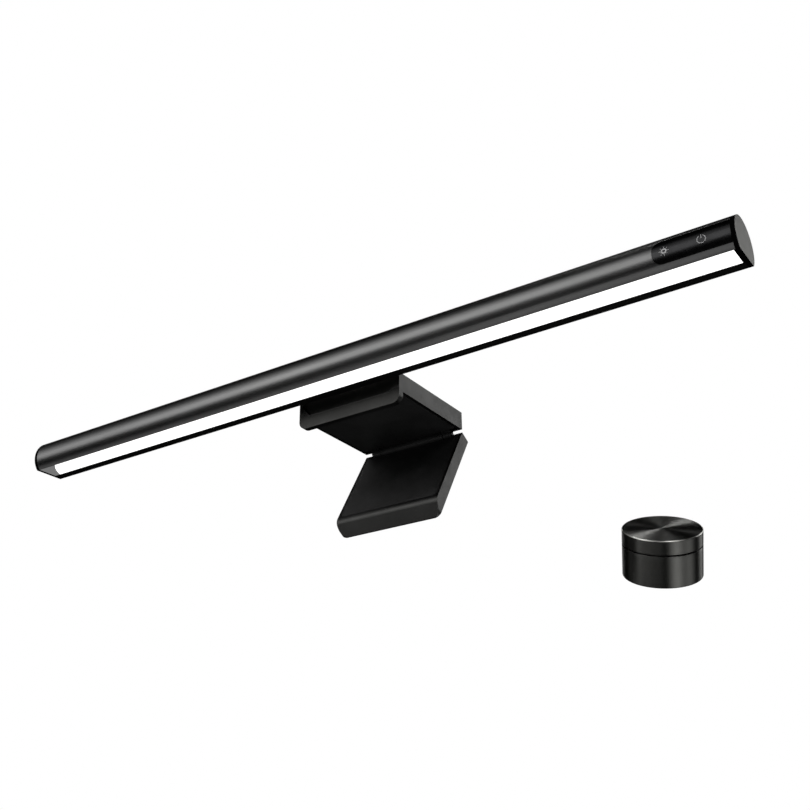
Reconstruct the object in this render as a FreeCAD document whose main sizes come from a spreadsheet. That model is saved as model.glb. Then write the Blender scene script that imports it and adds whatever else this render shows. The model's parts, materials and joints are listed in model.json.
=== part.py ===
import FreeCAD, Part
import math
import os

import Sketcher
from FreeCAD import Placement, Rotation, Vector

# Monitor light bar with its wireless dial, in millimetres.
# X runs along the bar, Y from the user towards the monitor's back, Z up.
# The origin is the middle of the clamp's rest pad, where it sits on the monitor's top edge.

os.makedirs("parts", exist_ok=True)
doc = FreeCAD.newDocument("monitor_light_bar")

# ---------------------------------------------------------------- driving dimensions

DIMENSIONS = {
    # light bar: a circle with a flat underside
    "bar_length": 450, "bar_radius": 12.3, "bar_axis_y": -46, "bar_axis_z": 13.74,
    "flat_drop": 8.14, "bar_wall": 1.4, "cap_thickness": 2.2, "cap_plug": 4,
    # diffuser mouth, in Y from the bar's axis
    "mouth_front": 8.9, "mouth_rear": 3.55, "slide_gap": 0.05, "flange_side": 0.5,
    "diffuser_right": 222, "gusset_radius": 35.6, "gusset_centre_x": -186.4, "gusset_centre_y": -27.2,
    # light engine
    "flange_top": 2.0, "reflector_bottom": 2.15, "reflector_top": 3.0, "led_board_bottom": 3.1,
    "web_bottom": 4.15, "web_top": 5.05, "led_pitch": 10, "led_count": 44,
    # touch panel window
    "window_left": 186.8, "window_low": 8.23, "window_high": 20.2, "window_corner": 4.5, "panel_sink": 0.05,
    # tilt pivot
    "pin_radius": 1.5, "running_gap": 0.05, "knuckle_radius": 2.9, "knuckle_half": 12,
    "washer_thickness": 0.6, "block_length": 10, "arm_half": 1.75, "slot_half_x": 15, "slot_half_z": 6.15,
    # electronics in the bar
    "inlet_x": 75, "inlet_width": 8.94, "inlet_height": 3.2, "inlet_depth": 7.35,
    # clamp
    "clamp_half": 33.42, "clamp_front": -32, "clamp_rear": 32.1, "clamp_top": 10.67, "skirt_bottom": 0.15,
    "clamp_wall": 1.8, "clamp_roof": 2, "lip_bottom": -6.6, "lip_thickness": 3.6, "lip_corner": 4.6,
    "pad_thickness": 0.8, "plate_top": 2.4, "boss_radius": 2.6,
    # black front plate of the clamp, with a shallow tray
    "front_half": 33, "front_top": 10.2, "front_low": 1.75, "front_thickness": 1.2, "front_gap": 0.05,
    "tray_low": 0.7, "tray_depth": 2.4, "tray_wall": 0.5,
    # rear hinge
    "hinge_y": 32.3, "hinge_z": -0.85, "hinge_pin_radius": 1.25, "barrel_radius": 3.2, "barrel_bore": 2.5,
    "barrel_half": 21.4, "lug_radius": 3, "lug_inner": 21.8, "lug_outer": 27, "hinge_room": 3.5,
    "pin_head_radius": 1.8, "pin_head": 28.4, "hinge_gap": 0.1,
    # leg, in its own frame: origin on the hinge axis, leg hanging along -Z
    "leg_lean": 31, "leg_top": -0.83, "leg_inner": 0.27, "leg_thickness": 7.3, "leg_ridge": -56.7,
    "leg_tip": -65.4, "tip_round": 0.4, "leg_bottom": -64.7, "ridge_round": 6,
    "corner_left": 8, "corner_right": 4,
    "leg_wall": 1.5, "leg_back_wall": 1.4, "sheet_gap": 0.15, "leg_room_low": -54, "leg_room_corner": 2,
    # wireless dial, in its own frame: origin at the middle of its underside
    "remote_x": 109, "remote_y": 122.54, "remote_z": -76.25, "remote_tilt": 37, "remote_heading": -61.2,
    "remote_radius": 22.5, "remote_wall": 1.6, "base_height": 18.5, "groove": 0.9, "remote_height": 27.6,
}

sheet = doc.addObject("Spreadsheet::Sheet", "dims")
for row, (alias, value) in enumerate(DIMENSIONS.items(), start=1):
    sheet.set(f"A{row}", alias)
    sheet.set(f"B{row}", str(value))
    sheet.setAlias(f"B{row}", alias)
doc.recompute()


class Size:
    """A length that carries its value and the sheet expression that gives it."""

    def __init__(self, value, text):
        self.value = value
        self.text = text

    def __add__(self, other):
        other = as_size(other)
        return Size(self.value + other.value, f"({self.text} + {other.text})")

    def __radd__(self, other):
        return as_size(other) + self

    def __neg__(self):
        return Size(-self.value, f"(-1 * {self.text})")

    def __sub__(self, other):
        other = as_size(other)
        return Size(self.value - other.value, f"({self.text} - {other.text})")

    def __rsub__(self, other):
        return as_size(other) - self

    def __mul__(self, factor):
        return Size(self.value * factor, f"({self.text} * {factor})")

    __rmul__ = __mul__


def as_size(number):
    if isinstance(number, Size):
        return number
    return Size(number, f"({number})")


class Sheet:
    """Attribute access to the sheet: dim.bar_length is the Size of that cell."""

    def __getattr__(self, alias):
        return Size(float(sheet.get(alias)), f"dims.{alias}")


dim = Sheet()
NODES = []


def node(obj, label, placement=None):
    """Names a finished piece; its label is the name of its file."""
    if placement is not None:
        if obj.ExpressionEngine:
            obj = group([obj])
        obj.Placement = placement
    obj.Label = label
    NODES.append(obj)
    return obj


def bind(obj, **sizes):
    for name, size in sizes.items():
        obj.setExpression(name, as_size(size).text)


# ---------------------------------------------------------------- primitives and booleans

def place_at(obj, x, y, z):
    for axis, size in zip("xyz", (x, y, z)):
        obj.setExpression(f"Placement.Base.{axis}", as_size(size).text)


def box(x, y, z):
    """Box between two limits along each axis, each a (low, high) pair."""
    obj = doc.addObject("Part::Box", "box")
    low = [as_size(pair[0]) for pair in (x, y, z)]
    high = [as_size(pair[1]) for pair in (x, y, z)]
    bind(obj, Length=high[0] - low[0], Width=high[1] - low[1], Height=high[2] - low[2])
    place_at(obj, *low)
    return obj


TURN = {"x": Rotation(Vector(0, 1, 0), 90), "y": Rotation(Vector(1, 0, 0), -90), "z": Rotation()}


def cylinder(axis, radius, start, end, centre):
    """Cylinder from start to end along an axis; centre is its place in the other two axes."""
    obj = doc.addObject("Part::Cylinder", "cylinder")
    start = as_size(start)
    bind(obj, Radius=radius, Height=as_size(end) - start)
    obj.Placement = Placement(Vector(), TURN[axis])
    spot = list(centre)
    spot.insert("xyz".index(axis), start)
    place_at(obj, *spot)
    return obj


def fuse(*parts):
    obj = doc.addObject("Part::MultiFuse", "fuse")
    obj.Shapes = list(parts)
    return obj


def cut(base, *tools):
    obj = doc.addObject("Part::Cut", "cut")
    obj.Base = base
    obj.Tool = tools[0] if len(tools) == 1 else fuse(*tools)
    return obj


def common(first, second):
    obj = doc.addObject("Part::Common", "common")
    obj.Base = first
    obj.Tool = second
    return obj


def group(parts):
    """Separate solids that share one node."""
    obj = doc.addObject("Part::Compound", "group")
    obj.Links = list(parts)
    return obj


def ring(axis, outer, inner, start, end, centre=(0, 0)):
    hole = cylinder(axis, inner, as_size(start) - 1, as_size(end) + 1, centre)
    return cut(cylinder(axis, outer, start, end, centre), hole)


# ---------------------------------------------------------------- sketched bodies

def new_body(name):
    return doc.addObject("PartDesign::Body", name)


def attach(body, role, name, lift=0):
    """Sketch on one of the body's own origin planes, lifted along the plane's normal."""
    plane = [item for item in body.Origin.OriginFeatures if item.Role == role][0]
    sketch = body.newObject("Sketcher::SketchObject", name)
    sketch.AttachmentSupport = [(plane, "")]
    sketch.MapMode = "FlatFace"
    sketch.setExpression("AttachmentOffset.Base.z", as_size(lift).text)
    return sketch


def pin_point(sketch, line, end, x, y):
    """Holds one end of a line, or a circle's centre, at sheet-driven coordinates."""
    for kind, size in (("DistanceX", x), ("DistanceY", y)):
        index = sketch.addConstraint(Sketcher.Constraint(kind, -1, 1, line, end, size.value))
        sketch.setExpression(f"Constraints[{index}]", size.text)


def outline(body, role, name, points, lift=0):
    """Closed outline of straight lines through the given points."""
    sketch = attach(body, role, name, lift)
    corners = [(as_size(x), as_size(y)) for x, y in points]
    count = len(corners)
    for i in range(count):
        first, second = corners[i], corners[(i + 1) % count]
        start = Vector(first[0].value, first[1].value, 0)
        end = Vector(second[0].value, second[1].value, 0)
        sketch.addGeometry(Part.LineSegment(start, end))
    for i in range(count):
        sketch.addConstraint(Sketcher.Constraint("Coincident", i, 2, (i + 1) % count, 1))
        pin_point(sketch, i, 1, *corners[i])
    return sketch


def circles(body, role, name, centres, radius, lift=0):
    sketch = attach(body, role, name, lift)
    radius = as_size(radius)
    for i, (x, y) in enumerate(centres):
        x, y = as_size(x), as_size(y)
        sketch.addGeometry(Part.Circle(Vector(x.value, y.value, 0), Vector(0, 0, 1), radius.value))
        pin_point(sketch, i, 3, x, y)
        index = sketch.addConstraint(Sketcher.Constraint("Radius", i, radius.value))
        sketch.setExpression(f"Constraints[{index}]", radius.text)
    return sketch


def grow(body, kind, sketch, length, reverse=False):
    """Pad or Pocket of a sketch; a pocket that removes nothing is an error."""
    doc.recompute()
    before = body.Shape.Volume if body.Tip else 0
    feature = body.newObject(f"PartDesign::{kind}", kind)
    feature.Profile = sketch
    feature.Reversed = reverse
    bind(feature, Length=length)
    doc.recompute()
    change = body.Shape.Volume - before
    if change == 0 or (change > 0) != (kind == "Pad"):
        raise RuntimeError(f"{body.Name}: {kind} on {sketch.Name} changed the volume by {change}")
    return feature


def slab(name, role, points, low, high):
    """Body padded from an outline between two heights along its plane's normal."""
    body = new_body(name)
    sketch = outline(body, role, name + "_outline", points, low)
    grow(body, "Pad", sketch, as_size(high) - low)
    return body


def turned(name, points):
    """Body revolved about Z from an outline of (radius, height) points."""
    body = new_body(name)
    sketch = outline(body, "XZ_Plane", name + "_profile", points)
    revolution = body.newObject("PartDesign::Revolution", "Revolution")
    revolution.Profile = sketch
    revolution.ReferenceAxis = (sketch, ["V_Axis"])
    revolution.Angle = 360
    doc.recompute()
    return body


def edges_at(shape, radius=None, **place):
    """Names of the edges whose middle lies at the given coordinates, or circles of that radius."""
    names = []
    for i, edge in enumerate(shape.Edges, start=1):
        if radius is not None and abs(getattr(edge.Curve, "Radius", 0) - radius) > 0.05:
            continue
        middle = edge.CenterOfMass
        if all(abs(getattr(middle, axis) - value) < 0.05 for axis, value in place.items()):
            names.append(f"Edge{i}")
    return names


def soften(body, kind, size, *places):
    """Fillet or Chamfer on the edges found at each place."""
    base = body.Tip
    names = sorted({edge for place in places for edge in edges_at(base.Shape, **place)})
    if not names:
        raise RuntimeError(f"{body.Name}: no edge for {kind}")
    feature = body.newObject(f"PartDesign::{kind}", kind)
    feature.Base = (base, names)
    bind(feature, **{"Radius" if kind == "Fillet" else "Size": size})
    doc.recompute()
    return feature


def screw(x, y, z, head_radius, head_height, shank_radius, length, axis="z", way=1):
    """Plain-shank screw: head at the start, shank running along the axis (way is +1 or -1)."""
    spots = {"x": (y, z), "y": (x, z), "z": (x, y)}
    start = {"x": x, "y": y, "z": z}[axis]
    seat = as_size(start) + way * head_height
    tip = seat + way * length
    if way > 0:
        head = cylinder(axis, head_radius, start, seat, spots[axis])
        shank = cylinder(axis, shank_radius, seat, tip, spots[axis])
    else:
        head = cylinder(axis, head_radius, seat, start, spots[axis])
        shank = cylinder(axis, shank_radius, tip, seat, spots[axis])
    return fuse(head, shank)


# ---------------------------------------------------------------- light bar

axis_y = dim.bar_axis_y
axis_z = dim.bar_axis_z
flat_z = axis_z - dim.flat_drop
inner_radius = dim.bar_radius - dim.bar_wall
tube_end = dim.bar_length * 0.5 - dim.cap_thickness
mouth = (axis_y - dim.mouth_front, axis_y + dim.mouth_rear)
BAR_CENTRE = (axis_y, axis_z)
PIVOT_SCREW_X = 17.6
FAR = 40


def bar_section(radius, floor, start, end):
    """Round section with a flat floor, along X."""
    below = box((as_size(start) - 1, as_size(end) + 1), (axis_y - FAR, axis_y + FAR), (floor - FAR, floor))
    return cut(cylinder("x", radius, start, end, BAR_CENTRE), below)


def window_prism(clearance):
    """Outline of the touch panel, rounded at its left end, running through the front wall."""
    low = dim.window_low - clearance
    high = dim.window_high + clearance
    left = dim.window_left - clearance
    prism = box((left, tube_end + 1), (axis_y - FAR, axis_y - 6), (low, high))
    doc.recompute()
    rounded = doc.addObject("Part::Fillet", "rounded")
    rounded.Base = prism
    names = edges_at(prism.Shape, x=left.value, z=low.value)
    names += edges_at(prism.Shape, x=left.value, z=high.value)
    radius = dim.window_corner.value
    rounded.Edges = [(int(name[4:]), radius, radius) for name in names]
    return rounded


def make_extrusion():
    tube = bar_section(dim.bar_radius, flat_z, -tube_end, tube_end)
    cavity = bar_section(inner_radius, flat_z + dim.bar_wall, -tube_end - 1, tube_end + 1)
    web_z = (flat_z + dim.web_bottom, flat_z + dim.web_top)
    web = box((-tube_end, tube_end), (axis_y - 11, axis_y + 11), web_z)
    mouth_cut = box((-tube_end - 1, tube_end + 1), mouth, (flat_z - 1, flat_z + dim.bar_wall + 0.1))
    slot_y = (axis_y + 2.7, axis_y + FAR)
    slot_z = (axis_z - dim.slot_half_z, axis_z + dim.slot_half_z)
    arm_slot = box((-dim.slot_half_x, dim.slot_half_x), slot_y, slot_z)
    inlet_half = dim.inlet_width * 0.5 + dim.slide_gap
    inlet_z = (axis_z - dim.inlet_height * 0.5 - 0.05, axis_z + dim.inlet_height * 0.5 + 0.05)
    inlet_cut = box((dim.inlet_x - inlet_half, dim.inlet_x + inlet_half), (axis_y + 9, axis_y + FAR), inlet_z)
    screw_holes = []
    for side in (-1, 1):
        spot = (side * PIVOT_SCREW_X, axis_z)
        screw_holes.append(cylinder("y", 2.05, axis_y + 11.25, axis_y + FAR, spot))
        screw_holes.append(cylinder("y", 1.0, axis_y + 8, axis_y + FAR, spot))
    hollow = cut(fuse(cut(tube, cavity), web), mouth_cut, arm_slot, inlet_cut, window_prism(0), *screw_holes)
    return node(hollow, "bar_extrusion")


def make_end_cap(label, side):
    """Flat D-shaped cap with a hollow plug that enters the upper chamber."""
    def span(inner, outer):
        inner, outer = as_size(inner), as_size(outer)
        return (inner, outer) if side > 0 else (-outer, -inner)

    face = bar_section(dim.bar_radius, flat_z, *span(tube_end, dim.bar_length * 0.5))
    plug_floor = flat_z + dim.web_top + 0.15
    plug = bar_section(inner_radius - 0.15, plug_floor, *span(tube_end - dim.cap_plug, tube_end))
    bore = cylinder("x", 4, *span(tube_end - dim.cap_plug - 1, tube_end), (axis_y, axis_z + 2))
    pieces = [face, cut(plug, bore)]
    if side > 0:
        tongue_y = (mouth[0] + dim.slide_gap, mouth[1] - dim.slide_gap)
        pieces.append(box((dim.diffuser_right + 0.05, tube_end), tongue_y, (flat_z, flat_z + 1.3)))
    return node(fuse(*pieces), label)


def gusset_zone():
    """Left end of the diffuser's mouth, up to the curved edge of the milky strip."""
    zone = box((-tube_end, -tube_end + 18), (mouth[0] + 0.05, mouth[1] - 0.05), (flat_z - 1, flat_z + 3))
    bulge = cylinder("z", dim.gusset_radius, 0, 20, (dim.gusset_centre_x, dim.gusset_centre_y))
    return cut(zone, bulge)


def make_diffuser():
    strip_y = (mouth[0] + dim.slide_gap, mouth[1] - dim.slide_gap)
    strip = box((-tube_end, dim.diffuser_right), strip_y, (flat_z, flat_z + 1.45))
    flange_y = (mouth[0] + dim.flange_side, mouth[1] + 1.1)
    flange = box((-tube_end, dim.diffuser_right), flange_y, (flat_z + 1.45, flat_z + dim.flange_top))
    return node(cut(fuse(strip, flange), gusset_zone()), "diffuser")


def make_light_engine():
    plate = box((-tube_end, tube_end), (mouth[0], mouth[1]), (flat_z, flat_z + 1.3))
    node(common(plate, gusset_zone()), "end_gusset")

    side = (axis_y - 8.3, axis_y + 4.4)
    frame_z = (flat_z + dim.reflector_bottom, flat_z + dim.reflector_top)
    frame = box((-218, 221.8), side, frame_z)
    window = box((-217, 220.8), (axis_y - 4.2, axis_y - 1.2), (flat_z, flat_z + 5))
    node(cut(frame, window), "reflector")

    board_z = (flat_z + dim.led_board_bottom, flat_z + dim.web_bottom)
    node(box((-219, 221), (axis_y - 8.6, axis_y + 4.5), board_z), "led_board")

    count = int(dim.led_count.value)
    chips = []
    for i in range(count):
        x = dim.led_pitch * (i - (count - 1) / 2)
        chip_z = (flat_z + dim.led_board_bottom - 0.65, flat_z + dim.led_board_bottom)
        chips.append(box((x - 1.4, x + 1.4), (axis_y - 3.8, axis_y - 1.6), chip_z))
    node(group(chips), "leds")


def make_bar_electronics():
    deck = axis_z - 2.9
    board_top = axis_z - dim.inlet_height * 0.5
    node(box((50, 130), (axis_y - 7, axis_y + 9.2), (deck, board_top)), "control_board")
    node(box((98, 114), (axis_y - 6, axis_y + 5), (board_top, board_top + 2.2)), "radio_module")
    node(group([
        box((56, 62), (axis_y - 5, axis_y + 1), (board_top, board_top + 1)),
        box((118, 126), (axis_y - 4, axis_y + 2), (board_top, board_top + 3)),
        cylinder("z", 3, board_top, board_top + 5, (as_size(90), axis_y - 1)),
    ]), "board_parts")

    half = dim.inlet_width * 0.5
    mouth_y = axis_y + 12.1
    back_y = mouth_y - dim.inlet_depth
    top = board_top + dim.inlet_height
    case = box((dim.inlet_x - half, dim.inlet_x + half), (back_y, mouth_y), (board_top, top))
    hollow = box((dim.inlet_x - half + 0.3, dim.inlet_x + half - 0.3), (back_y + 1, mouth_y + 1),
                 (board_top + 0.3, top - 0.3))
    tongue = box((dim.inlet_x - 3.35, dim.inlet_x + 3.35), (back_y + 0.5, mouth_y - 1.2),
                 (axis_z - 0.35, axis_z + 0.35))
    node(fuse(cut(case, hollow), tongue), "usb_inlet")

    panel_radius = dim.bar_radius - dim.panel_sink
    shell = ring("x", panel_radius, inner_radius + 0.1, dim.window_left - 2, tube_end, BAR_CENTRE)
    node(common(shell, window_prism(-0.05)), "touch_panel")
    node(box((189, 217), (axis_y - 8.6, axis_y - 7.8), (axis_z - 2.6, axis_z + 4.8)), "touch_board")
    node(box((130, 188.9), (axis_y - 8.2, axis_y - 4.2), (deck, deck + 0.3)), "touch_flex")


def make_tilt_pivot():
    inner = dim.knuckle_half + dim.washer_thickness
    outer = inner + dim.block_length
    for label, side in (("pivot_block_left", -1), ("pivot_block_right", 1)):
        span = (inner, outer) if side > 0 else (-outer, -inner)
        block = box(span, (axis_y - 4, axis_y + 10.2), (axis_z - 2.95, axis_z + 3.1))
        bore = cylinder("x", dim.pin_radius, span[0] - 1, span[1] + 1, BAR_CENTRE)
        thread = cylinder("y", 1, axis_y + 5.5, axis_y + 12, (side * PIVOT_SCREW_X, axis_z))
        node(cut(block, bore, thread), label)
    node(cylinder("x", dim.pin_radius, -outer + 0.5, outer - 0.5, BAR_CENTRE), "pivot_pin")
    washers = [
        ring("x", 2.8, dim.pin_radius + 0.03, dim.knuckle_half + 0.05, inner, BAR_CENTRE),
        ring("x", 2.8, dim.pin_radius + 0.03, -inner, -dim.knuckle_half - 0.05, BAR_CENTRE),
    ]
    node(group(washers), "friction_washers")
    screws = [screw(side * PIVOT_SCREW_X, axis_y + 12.1, axis_z, 2, 0.85, 1, 5.5, "y", -1) for side in (-1, 1)]
    node(group(screws), "pivot_screws")


# ---------------------------------------------------------------- clamp

CLAMP_BOSSES = [(-26, -20), (26, -20), (-26, 11), (26, 11)]
BRACKET_SCREWS = [(-7, -14), (7, -14), (-12, 23), (12, 23)]
HINGE = (dim.hinge_y, dim.hinge_z)
cavity_front = dim.clamp_front + 5.5


def hinge_room(centre):
    """Round clearance about the rear hinge axis: wide for the barrel and lugs, narrower for the pin's heads."""
    lugs, heads = dim.lug_outer + dim.hinge_gap, dim.pin_head + dim.hinge_gap
    wide = cylinder("x", dim.hinge_room, -lugs, lugs, centre)
    return fuse(wide, cylinder("x", dim.pin_head_radius + 0.3, -heads, heads, centre))


def front_outline(gap):
    """Front plate seen from the front: wide above, stepped in where the lip strip rises between its ends."""
    side = dim.front_half - gap
    low = dim.front_low + gap
    foot = dim.tray_low - dim.tray_wall + gap
    return [(-27, foot), (27, foot), (27.8, low), (side, low), (side, dim.front_top - gap),
            (-side, dim.front_top - gap), (-side, low), (-27.8, low)]


def tray_outline(grow_by):
    """Trapezoid tray in the front plate, wider at the top."""
    low, high = dim.tray_low - grow_by, 9.6 + as_size(grow_by)
    narrow, wide = 26.6 + as_size(grow_by) * 0.8, 32 + as_size(grow_by)
    shoulder = 7.2 - as_size(grow_by) * 0.4
    return [(-narrow, low), (narrow, low), (wide, shoulder), (wide, high), (-wide, high), (-wide, shoulder)]


def front_pocket(body, name, points, depth):
    """Pocket of the given depth into the clamp's front face."""
    sketch = outline(body, "XZ_Plane", name, points, -dim.clamp_front - depth)
    grow(body, "Pocket", sketch, depth + 1, reverse=True)


def make_clamp_shell():
    lip_back = dim.clamp_front + dim.lip_thickness
    profile = [
        (dim.clamp_front, dim.lip_bottom), (lip_back, dim.lip_bottom), (lip_back, dim.skirt_bottom),
        (dim.clamp_rear, dim.skirt_bottom), (dim.clamp_rear, dim.clamp_top), (dim.clamp_front, dim.clamp_top),
    ]
    shell = slab("shell", "YZ_Plane", profile, -dim.clamp_half, dim.clamp_half)
    half, lip_y = dim.clamp_half.value, (dim.clamp_front + dim.lip_thickness * 0.5).value
    low = dim.lip_bottom.value
    soften(shell, "Fillet", dim.lip_corner, dict(x=half, y=lip_y, z=low), dict(x=-half, y=lip_y, z=low))

    inside = dim.clamp_half - dim.clamp_wall
    room_front, room_rear = cavity_front, dim.clamp_rear - 2
    roof = dim.clamp_top - dim.clamp_roof
    room = [(-inside, room_front), (inside, room_front), (inside, room_rear), (-inside, room_rear)]
    grow(shell, "Pocket", outline(shell, "XY_Plane", "room", room, roof), roof - dim.skirt_bottom + 1)

    # seat of the front plate and of its tray
    front_pocket(shell, "front_seat", front_outline(0), dim.front_thickness)
    seat_depth = dim.tray_depth + dim.tray_wall + dim.front_gap
    front_pocket(shell, "tray_seat", tray_outline(dim.tray_wall), seat_depth)

    # slot in the roof for the tilt bracket
    slot = [(-12.3, -26.3), (12.3, -26.3), (12.3, -22.2), (-12.3, -22.2)]
    grow(shell, "Pocket", outline(shell, "XY_Plane", "arm_slot", slot, dim.clamp_top), 2.5)

    bosses = circles(shell, "XY_Plane", "bosses", CLAMP_BOSSES, dim.boss_radius, dim.plate_top + 0.05)
    grow(shell, "Pad", bosses, roof - dim.plate_top)
    threads = circles(shell, "XY_Plane", "threads", CLAMP_BOSSES, 1, roof - 1)
    grow(shell, "Pocket", threads, roof - dim.plate_top)
    return node(cut(shell, hinge_room(HINGE)), "clamp_shell")


def make_clamp_front():
    """Black plate let into the clamp's front, behind the bar."""
    gap = dim.front_gap
    back = -dim.clamp_front - dim.front_thickness + gap
    plate = slab("front", "XZ_Plane", front_outline(gap), back, -dim.clamp_front)
    block_back = -dim.clamp_front - dim.tray_depth - dim.tray_wall
    block = outline(plate, "XZ_Plane", "block", tray_outline(dim.tray_wall - gap), block_back)
    grow(plate, "Pad", block, dim.tray_depth + dim.tray_wall)
    front_pocket(plate, "tray", tray_outline(0), dim.tray_depth)
    node(plate, "clamp_front_plate")


def make_clamp_inside():
    inside = dim.clamp_half - dim.clamp_wall - 0.1
    edges = [(-inside, cavity_front + 0.1), (inside, cavity_front + 0.1), (inside, 27.8), (-inside, 27.8)]
    plate = slab("plate", "XY_Plane", edges, dim.pad_thickness, dim.plate_top)
    holes = CLAMP_BOSSES + BRACKET_SCREWS
    grow(plate, "Pocket", circles(plate, "XY_Plane", "holes", holes, 1, dim.plate_top), 5)
    heads = circles(plate, "XY_Plane", "heads", holes, 2, dim.pad_thickness + 0.8)
    grow(plate, "Pocket", heads, 5)
    node(plate, "base_plate")

    rest = [(-31.4, -26.3), (31.4, -26.3), (31.4, 27.8), (-31.4, 27.8)]
    pad = slab("pad", "XY_Plane", rest, 0, dim.pad_thickness)
    corners = [dict(x=sx * 31.4, y=y) for sx in (-1, 1) for y in (-26.3, 27.8)]
    soften(pad, "Fillet", 1.5, *corners)
    node(pad, "rest_pad")

    lip_back = dim.clamp_front + dim.lip_thickness
    bezel = [(-28, -5.9), (28, -5.9), (28, -0.4), (-28, -0.4)]
    lip = slab("lip", "XZ_Plane", bezel, -lip_back - 0.6, -lip_back)
    soften(lip, "Fillet", 2, *[dict(x=sx * 28, z=z) for sx in (-1, 1) for z in (-5.9, -0.4)])
    node(lip, "lip_pad")

    head_z = dim.pad_thickness + 0.05
    clamp = [screw(x, y, head_z, 1.9, 0.75, 1, 5, "z", 1) for x, y in CLAMP_BOSSES]
    node(group(clamp), "clamp_screws")
    bracket = [screw(x, y, head_z, 1.9, 0.75, 1, 2.05, "z", 1) for x, y in BRACKET_SCREWS]
    node(group(bracket), "bracket_screws")


def make_tilt_bracket():
    """Steel arm from the clamp's inside up and forward to the knuckle on the bar's axis."""
    foot_z = dim.plate_top + 0.05
    arm_low, arm_high = axis_z - dim.arm_half, axis_z + dim.arm_half
    profile = [
        (axis_y + 1.6, arm_low), (-26, arm_low), (-26, foot_z), (-8, foot_z), (-8, foot_z + 2),
        (-22.5, foot_z + 2), (-22.5, arm_high), (axis_y + 1.6, arm_high),
    ]
    half = dim.knuckle_half
    arm = slab("arm", "YZ_Plane", profile, -half, half)
    soften(arm, "Fillet", 2, dict(x=0, y=-22.5, z=arm_high.value))
    knuckle = circles(arm, "YZ_Plane", "knuckle", [BAR_CENTRE], dim.knuckle_radius, -half)
    grow(arm, "Pad", knuckle, half * 2)
    bore = circles(arm, "YZ_Plane", "bore", [BAR_CENTRE], dim.pin_radius + dim.running_gap, half)
    grow(arm, "Pocket", bore, half * 2)
    spots = BRACKET_SCREWS[:2]
    grow(arm, "Pocket", circles(arm, "XY_Plane", "holes", spots, 1, foot_z + 2), 5)
    node(arm, "tilt_bracket")

    roof = dim.clamp_top
    outer = [(-32, roof), (-32, 16.3), (-30.6, 17.6), (-20.5, 17.6), (-7, 11.6), (-7, roof)]
    hood = slab("hood", "YZ_Plane", outer, -15, 15)
    soften(hood, "Fillet", 1.5, dict(x=15, z=17.6), dict(x=-15, z=17.6))
    inner = [(-30.6, roof), (-30.6, 15.8), (-21, 15.8), (-9.5, roof)]
    grow(hood, "Pocket", outline(hood, "YZ_Plane", "hollow", inner, 13.5), 27)
    gate = [(-12.3, axis_z - 2), (12.3, axis_z - 2), (12.3, axis_z + 2), (-12.3, axis_z + 2)]
    grow(hood, "Pocket", outline(hood, "XZ_Plane", "gate", gate, 30), 4, reverse=True)
    node(hood, "neck_cover")


def make_hinge_bracket():
    foot_z = dim.plate_top + 0.05
    foot = box((-dim.lug_outer, dim.lug_outer), (18, 30), (foot_z, foot_z + 1.2))
    tools = [cylinder("z", 1, 0, 6, spot) for spot in BRACKET_SCREWS[2:]]
    pieces = [cut(foot, *tools)]
    for span in ((-dim.lug_outer, -dim.lug_inner), (dim.lug_inner, dim.lug_outer)):
        pieces.append(box(span, (28, 30), (dim.hinge_z, foot_z + 1.2)))
        pieces.append(cylinder("x", dim.lug_radius, *span, HINGE))
    bore = cylinder("x", dim.hinge_pin_radius, -FAR, FAR, HINGE)
    node(cut(fuse(*pieces), bore), "hinge_bracket")
    seat = dim.lug_outer + dim.hinge_gap * 0.5
    shank = cylinder("x", dim.hinge_pin_radius, -dim.pin_head, dim.pin_head, HINGE)
    spans = ((-dim.pin_head, -seat), (seat, dim.pin_head))
    heads = [cylinder("x", dim.pin_head_radius, *span, HINGE) for span in spans]
    node(fuse(shank, *heads), "hinge_pin")


# ---------------------------------------------------------------- leg

LEG_PLACE = Placement(Vector(0, dim.hinge_y.value, dim.hinge_z.value),
                      Rotation(Vector(1, 0, 0), -dim.leg_lean.value))
LEAF_SCREWS = [(-15, -9), (15, -9)]
leg_back = dim.leg_inner + dim.leg_thickness
ORIGIN_AXIS = (0, 0)


def leg_corners():
    """Cutters that round the leg's two lower corners."""
    tools = []
    for side, radius in ((-1, dim.corner_left), (1, dim.corner_right)):
        outer, inner = (dim.clamp_half + 1) * side, (dim.clamp_half - radius) * side
        span = (inner, outer) if side > 0 else (outer, inner)
        block = box(span, (-5, 15), (dim.leg_bottom - 5, dim.leg_bottom + radius))
        tools.append(cut(block, cylinder("y", radius, -6, 16, (inner, dim.leg_bottom + radius))))
    return tools


def leg_room(gap):
    """Room inside the leg's rim, with its two lower corners cut off."""
    side = dim.clamp_half - dim.leg_wall - gap
    top, low = dim.leg_top - dim.leg_wall - gap, dim.leg_room_low + gap
    corner = dim.leg_room_corner
    return [(-side, top), (side, top), (side, low + corner), (side - corner, low),
            (corner - side, low), (-side, low + corner)]


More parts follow.
